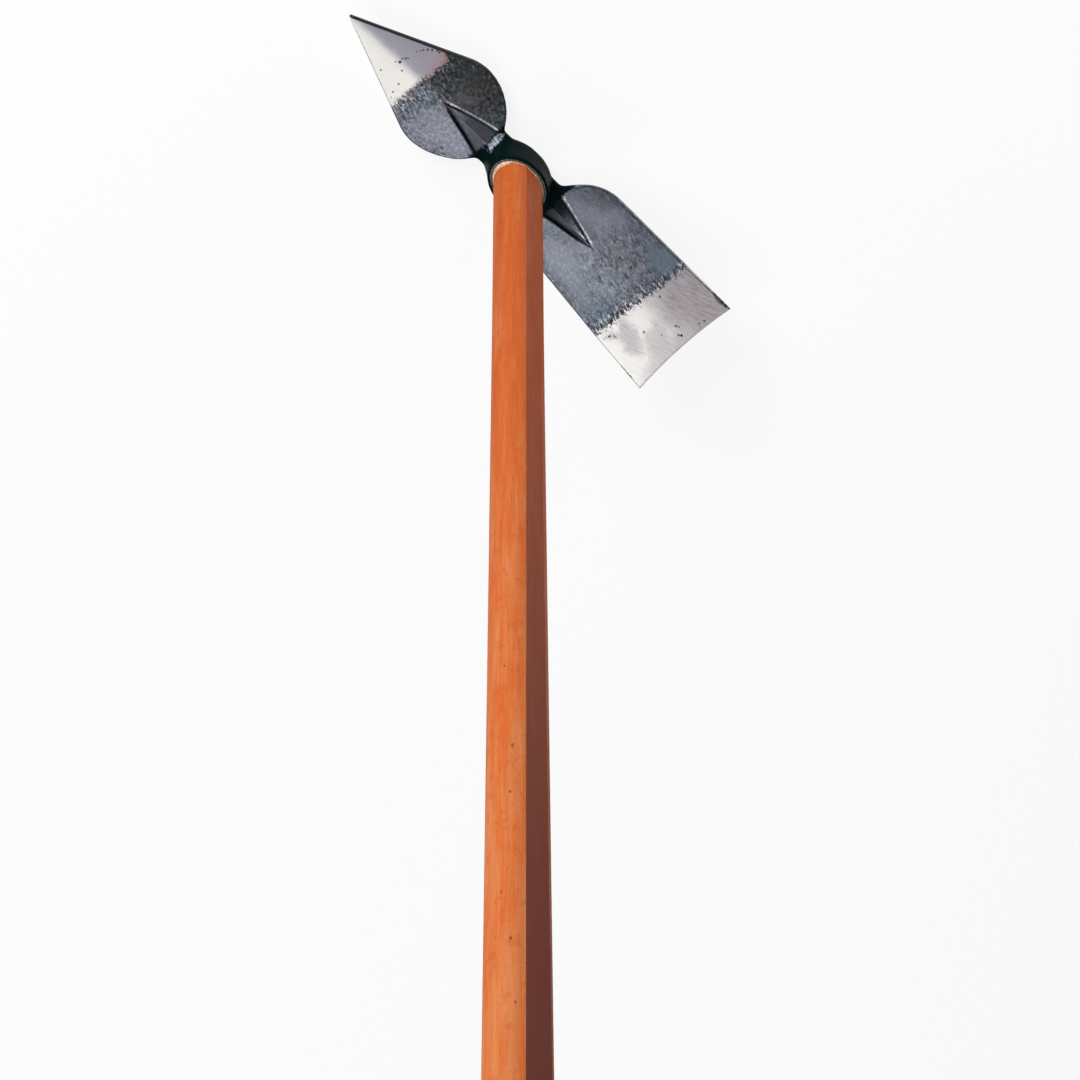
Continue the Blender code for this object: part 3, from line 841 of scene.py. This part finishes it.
    def paintBright(self, edgeAt):           # ground steel, clearer in some places and duller in others
        steel, tones = self.steel, self.tones
        self.brushLines = self.noise(self.stretch(self.flat, (30.0, 0.55, 1), turn=21), 1.0, 3.0, 0.55)
        crossed = self.stretch(self.flat, (8.0, 1.4, 1), turn=21, place=(3, 8, 0))
        hatch = self.noise(crossed, 1.0, 4.0, 0.65, 0.4)
        bright = self.ramp(self.brushLines, (0.30, 0.50, 0.70), tones["bright"])
        bright = self.mix(self.times(self.onPoint, 0.6), bright, tones["pointBright"])
        # painted shade: the -Y half of the ground point is painted duller and bluer than the +Y half
        pointShadedHalf = self.fade(self.plus(self.y, self.swing(self.drifts, 8.0)), 1.0, -5.0)
        bright = self.mix(self.times(self.onPoint, pointShadedHalf, 0.85), bright, tones["pointShadedHalf"])
        blotchy = self.wobbled(15.0, 9.0)
        dull = self.chain("MAXIMUM", (self.times(self.spot(blotchy, place, 0.6), share)
                                      for *place, share in steel["dullPatches"]))
        self.dull = self.times(dull, self.fade(hatch, 0.30, 0.60, 1.0, 0.86))
        dullTone = self.ramp(hatch, (0.36, 0.50, 0.66), tones["dull"])
        bright = self.mix(self.times(self.dull, 0.85), bright, dullTone)

        # a honed line along the hollow cutting edge
        hollow = self.math("POWER", self.math("DIVIDE", self.y, steel["squareHalf"]), 2.0)
        hollow = self.times(hollow, steel["squareHollow"])
        toEdge = self.plus(self.x, edgeAt - steel["squareHollow"], hollow)
        honed = self.times(self.fade(toEdge, 1.9, 0.8), self.fade(self.mottle, 0.38, 0.55, 0.3, 0.9))
        bright = self.mix(honed, bright, tones["honed"])
        squareRim = self.times(self.rimLine, self.times(self.onSquare, 0.45))
        return self.mix(squareRim, bright, tones["squareRim"])

    def paintSeam(self, colour):             # the ragged seam between scale and ground steel
        tones, past = self.tones, self.past
        specks = self.fade(self.noise(self.flat, 0.75, 3.0, 0.6), 0.46, 0.54)
        pinkish = self.times(specks, self.seam, self.times(self.onPoint, 0.75))
        speckled = self.mix(self.fade(self.strokes, 0.46, 0.54), tones["speckDark"], tones["speckPale"])
        colour = self.mix(pinkish, colour, speckled)
        rusty = self.spots(self.wobbled(11.0, 4.0), self.steel["rustPatches"])
        rusty = self.times(rusty, self.fade(self.fine, 0.40, 0.54, 0.25, 0.95))
        colour = self.mix(self.times(rusty, 0.8), colour, tones["rust"])
        paleSeam = self.times(self.paleStroke, self.onSquare, self.fade(past, -5.0, -1.0))
        colour = self.mix(self.times(paleSeam, self.fade(past, 5.0, 1.0)), colour, tones["seamPale"])
        darkSeam = self.times(self.darkStroke, self.onSquare, self.fade(past, -7.0, -3.0))
        darkSeam = self.times(darkSeam, self.fade(past, 1.5, -0.5), 0.8)
        darkSpecks = self.noise(self.stretch(self.flat, (1.1, 1.1, 1), place=(11, 5, 0)), 1.0, 3.0, 0.6)
        darkSeam = self.most(darkSeam, self.times(self.fade(darkSpecks, 0.52, 0.60), self.seam))
        return self.mix(darkSeam, colour, tones["seamDark"])

    def paintMarks(self, colour):
        marks = self.times(self.findMarks(self.wobbled(0.0, 3.0)), self.upward)
        sooty = self.spots(self.wobbled(0.0, 4.0), self.steel["soot"])
        sooty = self.times(sooty, self.fade(self.mottle, 0.40, 0.52, 0.2, 0.9))
        colour = self.mix(self.most(marks, sooty), colour, self.tones["pit"])
        return self.mix(self.strip, colour, self.tones["blackSide"])

    def findMarks(self, flat):               # 1 on every pit and scratch
        pits = (self.fade(self.vector("DISTANCE", flat, (x, y, 0)), radius * 1.3, radius * 0.6)
                for x, y, radius in self.steel["pits"])
        marks = self.chain("MAXIMUM", pits)
        for (ax, ay), (bx, by), width in self.steel["scratches"]:
            turn = math.degrees(math.atan2(by - ay, bx - ax))
            line = ((ax + bx) / 2, (ay + by) / 2, math.hypot(bx - ax, by - ay) / 2, width, turn)
            marks = self.most(marks, self.spot(flat, line))
        return marks

    def paintEye(self, colour):   # black lacquer, bare at the mouth, with a painted highlight of bared metal on one fillet
        steel, tones = self.steel, self.tones
        reach = self.plus(self.out, self.swing(self.mottle, steel["lacquerStrays"]))
        reach = self.minus(reach, self.times(self.onSquare, 2.5))
        lacquer = self.fade(reach, steel["lacquerTo"] + 2.0, steel["lacquerTo"] - 1.0)
        mouthLong, mouthWide = steel["mouthOval"]
        along, across = self.math("DIVIDE", self.x, mouthLong), self.math("DIVIDE", self.y, mouthWide)
        offBore = self.length(along, across)
        self.bared = self.times(self.fade(offBore, 1.005, 0.985), self.fade(self.z, *steel["mouthFrom"]))
        # painted highlight on one fillet, drawn as metal where the lacquer is off
        filletHighlight = self.spots(self.wobbled(0.0, 3.0), steel["filletHighlights"])
        filletHighlight = self.times(filletHighlight, self.fade(self.strokes, 0.40, 0.56))
        filletHighlight = self.times(filletHighlight, self.fade(self.z, *steel["filletFrom"]))
        self.filletHighlight = self.times(filletHighlight, self.fade(self.nz, 0.0, 0.2))
        lacquer = self.times(lacquer, self.rest(self.bared))
        colour = self.mix(lacquer, colour, tones["lacquer"])
        colour = self.mix(self.times(self.filletHighlight, 0.9), colour, tones["filletHighlight"])
        bareTone = self.mix(self.fade(self.fine, 0.42, 0.58), tones["bareDark"], tones["barePale"])
        self.lacquer = self.times(lacquer, self.rest(self.filletHighlight))
        return self.mix(self.bared, colour, bareTone)

    def setGloss(self):
        metal = self.times(self.blend(self.ground, 0.92, 1.0), self.rest(self.lacquer))
        metal = self.times(metal, self.fade(self.most(self.bared, self.filletHighlight), 0.0, 1.0, 1.0, 0.35))
        self.wire("Metallic", metal)
        scaleRough = self.fade(self.mottle, 0.35, 0.65, 0.35, 0.26)
        groundRough = self.fade(self.brushLines, 0.3, 0.7, 0.36, 0.31)
        rough = self.blend(self.ground, scaleRough, groundRough)
        rough = self.blend(self.times(self.dull, self.ground), rough, 0.38)
        rough = self.blend(self.times(self.inShade, self.rest(self.ground)), rough, 0.46)
        self.wire("Roughness", self.blend(self.lacquer, rough, 0.45))
        self.wire("Specular IOR Level", 0.01)

    def setRelief(self):
        # pitted and creased scale, faint under the lacquer
        creases = self.times(self.darkStroke, self.fade(self.past, -24.0, -6.0))
        relief = self.minus(self.times(self.grain, 0.28), self.times(creases, 0.55))
        onScale = self.times(self.fade(self.past, 0.45, -0.35), self.fade(self.out, 29.0, 33.0, 0.35, 1.0))
        relief = self.times(relief, onScale)

        # a soft crown along the middle of the blades, narrower on the pointed one, over slow waves
        roundness = self.blend(self.onPoint, 150.0, 10.0)
        rounded = self.math("SQRT", self.math("MULTIPLY_ADD", self.y, self.y, roundness))
        crown = self.times(self.minus(self.aside, rounded), self.blend(self.onPoint, 0.021, 0.066))
        crown = self.times(crown, self.times(self.fade(self.out, 74.0, 88.0), self.upward))
        waves = self.bump(self.plus(crown, self.times(self.clouds, 0.09)), 0.001)
        self.wire("Normal", self.bump(relief, 0.00012, 0.8, waves))


# Finish of the handle

wood = {
    "deep": (0.530, 0.098, 0.022),
    "main": (0.600, 0.132, 0.029),
    "pale": (0.620, 0.215, 0.076),
    "tick": (0.220, 0.045, 0.018),
    "fleck": (0.160, 0.032, 0.014),
    "planed": (0.235, 0.058, 0.036),         # painted shade on the planed sides, deeper toward the grip
    "end": (0.400, 0.090, 0.022),
    "endRing": (0.220, 0.045, 0.014),
    # where the eye shaved the handle
    "bare": ((0.330, 0.230, 0.150), (0.620, 0.480, 0.330), (0.860, 0.740, 0.580)),
    "bareRing": (0.360, 0.240, 0.150),
    # the rest in millimetres
    "pith": (31.0, 14.0),                    # the rings' middle, beside the handle
    "ringTurn": 2.9,                         # radians of the rings' wave per millimetre
    "tornStrays": 11.0,
    "flecks": (
        # x, y, z, half length
        (16.6, -6.2, 776, 1.6), (13.7, -9.5, 864, 3.0), (14.6, -8.8, 912, 1.6), (17.2, -5.3, 1008, 2.6),
        (14.2, -9.2, 1052, 2.2), (12.4, -10.6, 1108, 1.8), (18.2, -2.5, 1048, 1.4), (-3.8, -13.7, 796, 2.0),
    ),
    "fleckReach": 1.25,                      # a fleck has faded out at this many half lengths
}


class LacqueredWood(Finish):
    def __init__(self, wood):
        super().__init__("lacqueredAsh")
        self.wood = wood
        self.x, self.y, self.z = self.xyz(self.mm)
        _, self.ny, self.nz = self.xyz(self.coords.outputs["Normal"])
        tone = self.paintGrain()
        tone = self.paintFlecks(tone)
        tone = self.paintShadeOnPlanedSides(tone)
        tone = self.paintEnds(tone)
        self.wire("Base Color", tone)
        self.wire("IOR", 1.45)
        self.wire("Specular IOR Level", 0.03)
        self.wire("Roughness", self.blend(self.torn, self.fade(self.bands, 0.3, 0.7, 0.56, 0.48), 0.85))
        relief = self.plus(self.times(self.lines, 0.5), self.times(self.ticks, 0.5))
        relief = self.minus(relief, self.times(self.knots, 0.8))
        self.wire("Normal", self.bump(relief, 0.00012, 0.6))

    def paintGrain(self):
        wood, mm = self.wood, self.mm
        self.wide = self.noise(self.stretch(mm, (9.0, 9.0, 110.0)), 1.0, 2.0, 0.5, 0.6)
        self.bands = self.noise(self.stretch(mm, (2.8, 2.8, 90.0)), 1.0, 4.0, 0.60, 1.2)
        self.lines = self.noise(self.stretch(mm, (0.55, 0.55, 16.0)), 1.0, 3.0, 0.6)
        self.ticks = self.noise(self.stretch(mm, (0.50, 0.50, 3.2)), 1.0, 2.0, 0.5)
        # painted sheen: the wood is painted paler toward the grip's end
        paintedSheen = self.fade(self.z, 250.0, 1000.0, -0.05, 0.12, smooth=False)      # toward the grip's end
        tone = self.plus(self.times(self.bands, 0.55), self.times(self.wide, 0.45), paintedSheen)
        tone = self.ramp(tone, (0.32, 0.50, 0.72), (wood["deep"], wood["main"], wood["pale"]))
        figure = self.noise(self.stretch(mm, (6.0, 6.0, 13.0), place=(4, 9, 2)), 1.0, 3.0, 0.55, 0.8)
        tone = self.mix(self.fade(figure, 0.52, 0.68, 0.0, 0.45), tone, wood["deep"])
        tone = self.mix(self.fade(self.lines, 0.56, 0.72, 0.0, 0.30), tone, wood["deep"])
        tone = self.mix(self.fade(self.lines, 0.44, 0.30, 0.0, 0.30), tone, wood["pale"])
        return self.mix(self.fade(self.ticks, 0.66, 0.74, 0.0, 0.55), tone, wood["tick"])

    def paintFlecks(self, tone):
        self.knots = self.chain("MAXIMUM", (self.findFleck(*fleck) for fleck in self.wood["flecks"]))
        return self.mix(self.times(self.knots, 0.75), tone, self.wood["fleck"])

    def findFleck(self, x, y, z, half):
        along = self.times(self.minus(self.z, z), 1 / self.wood["fleckReach"] / half)
        off = self.join(self.minus(self.x, x), self.minus(self.y, y), along)
        return self.fade(self.vector("LENGTH", off), 1.0, 0.3)

    # painted shade: the planed sides are painted darker, more so toward the grip
    def paintShadeOnPlanedSides(self, tone):
        planed = self.fade(self.absolute(self.ny), 0.984, 0.994)
        planed = self.times(planed, self.fade(self.z, 100.0, 1000.0, 0.45, 1.0, smooth=False))
        return self.mix(planed, tone, self.wood["planed"])

    def paintEnds(self, tone):    # end grain at both ends, and bare wood where the eye shaved the handle
        wood = self.wood
        pithX, pithY = wood["pith"]
        ringsAt = self.length(self.minus(self.x, pithX), self.minus(self.y, pithY))
        ringsAt = self.plus(ringsAt, self.times(self.wide, 3.0))
        rings = self.math("SINE", self.times(ringsAt, wood["ringTurn"]))
        ends = self.fade(self.absolute(self.nz), 0.80, 0.95)
        endTone = self.mix(self.fade(rings, 0.2, 0.95, 0.0, 0.55), wood["end"], wood["endRing"])
        fibres = self.noise(self.stretch(self.mm, (0.83, 0.83, 4.0)), 1.1, 4.0, 0.6)
        bareTone = self.ramp(fibres, (0.36, 0.50, 0.62), wood["bare"])
        bareRings = self.times(ends, self.fade(rings, 0.2, 0.95, 0.0, 0.6))
        bareTone = self.mix(bareRings, bareTone, wood["bareRing"])
        tone = self.mix(self.times(ends, self.fade(self.z, 1100.0, 1150.0)), tone, endTone)
        self.torn = self.findTorn()
        return self.mix(self.torn, tone, bareTone)

    def findTorn(self):           # it reaches highest toward both blades
        ragged = self.noise(self.stretch(self.mm, (1.1, 1.1, 3.0)), 1.0, 4.0, 0.7)
        tornAt = self.plus(self.z, self.swing(ragged, self.wood["tornStrays"]))
        toPoint = self.plus(self.times(self.x, 0.050), self.times(self.y, 0.026))
        toSquare = self.minus(self.times(self.x, -0.040), self.times(self.y, 0.045))
        towardPoint = self.fade(toPoint, 0.35, 0.85, 37.4, 40.2)
        towardSquare = self.fade(toSquare, 0.55, 0.90, 37.5, 39.4)
        return self.fade(self.minus(tornAt, self.most(towardPoint, towardSquare)), 0.3, -0.3)


# Finish of the wedges

wedges = {
    "beech": ((0.360, 0.230, 0.130), (0.540, 0.370, 0.220), (0.660, 0.490, 0.310)),
    "beechTick": (0.260, 0.150, 0.080),
    "steel": ((0.260, 0.250, 0.250), (0.440, 0.430, 0.430), (0.560, 0.550, 0.540)),
    "steelRust": (0.160, 0.075, 0.035),
}


def bareBeech(wedges):
    finish = Finish("bareBeech")
    lines = finish.noise(finish.stretch(finish.mm, (1.1, 0.55, 11.0)), 1.0, 3.0, 0.6)
    ticks = finish.noise(finish.stretch(finish.mm, (0.31, 0.31, 1.6)), 1.0, 2.0, 0.6)
    tone = finish.ramp(lines, (0.34, 0.50, 0.66), wedges["beech"])
    tone = finish.mix(finish.fade(ticks, 0.60, 0.70, 0.0, 0.5), tone, wedges["beechTick"])
    finish.wire("Base Color", tone)
    finish.wire("Roughness", 0.75)
    finish.wire("Normal", finish.bump(lines, 0.00015, 0.6))
    return finish.material


def struckSteel(wedges):
    finish = Finish("struckSteel")
    dents = finish.noise(finish.mm, 0.55, 3.0, 0.6)
    scratches = finish.noise(finish.stretch(finish.mm, (0.22, 1.7, 0.22)), 1.0, 3.0, 0.6)
    tone = finish.ramp(scratches, (0.35, 0.55, 0.75), wedges["steel"])
    tone = finish.mix(finish.fade(dents, 0.56, 0.66, 0.0, 0.7), tone, wedges["steelRust"])
    finish.wire("Base Color", tone)
    finish.wire("Metallic", 1.0)
    finish.wire("Roughness", finish.fade(dents, 0.4, 0.66, 0.32, 0.60))
    finish.wire("Normal", finish.bump(finish.plus(dents, finish.times(scratches, 0.3)), 0.0003, 0.7))
    return finish.material


def dress(piece, material):
    piece.data.materials.clear()
    piece.data.materials.append(material)


dress(headPiece, ForgedSteel(steel, edgeAt=-cadBox[0].x * 1000).material)
dress(handlePiece, LacqueredWood(wood).material)
for name, material in (("wooden_wedge", bareBeech(wedges)), ("steel_wedge", struckSteel(wedges))):
    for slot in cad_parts[name].material_slots:
        slot.link = "OBJECT"
        slot.material = material
print("finishes are painted")


# Joining the frame

standIns = ((headPiece, "hoe_head", "forged_steel"), (handlePiece, "handle", "lacquered_wood"))
for piece, node, slot in standIns:
    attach(piece, "root")
    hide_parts(node)

size = {"cad": [list(corner) for corner in cadBox], "visual": [list(corner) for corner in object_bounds()]}
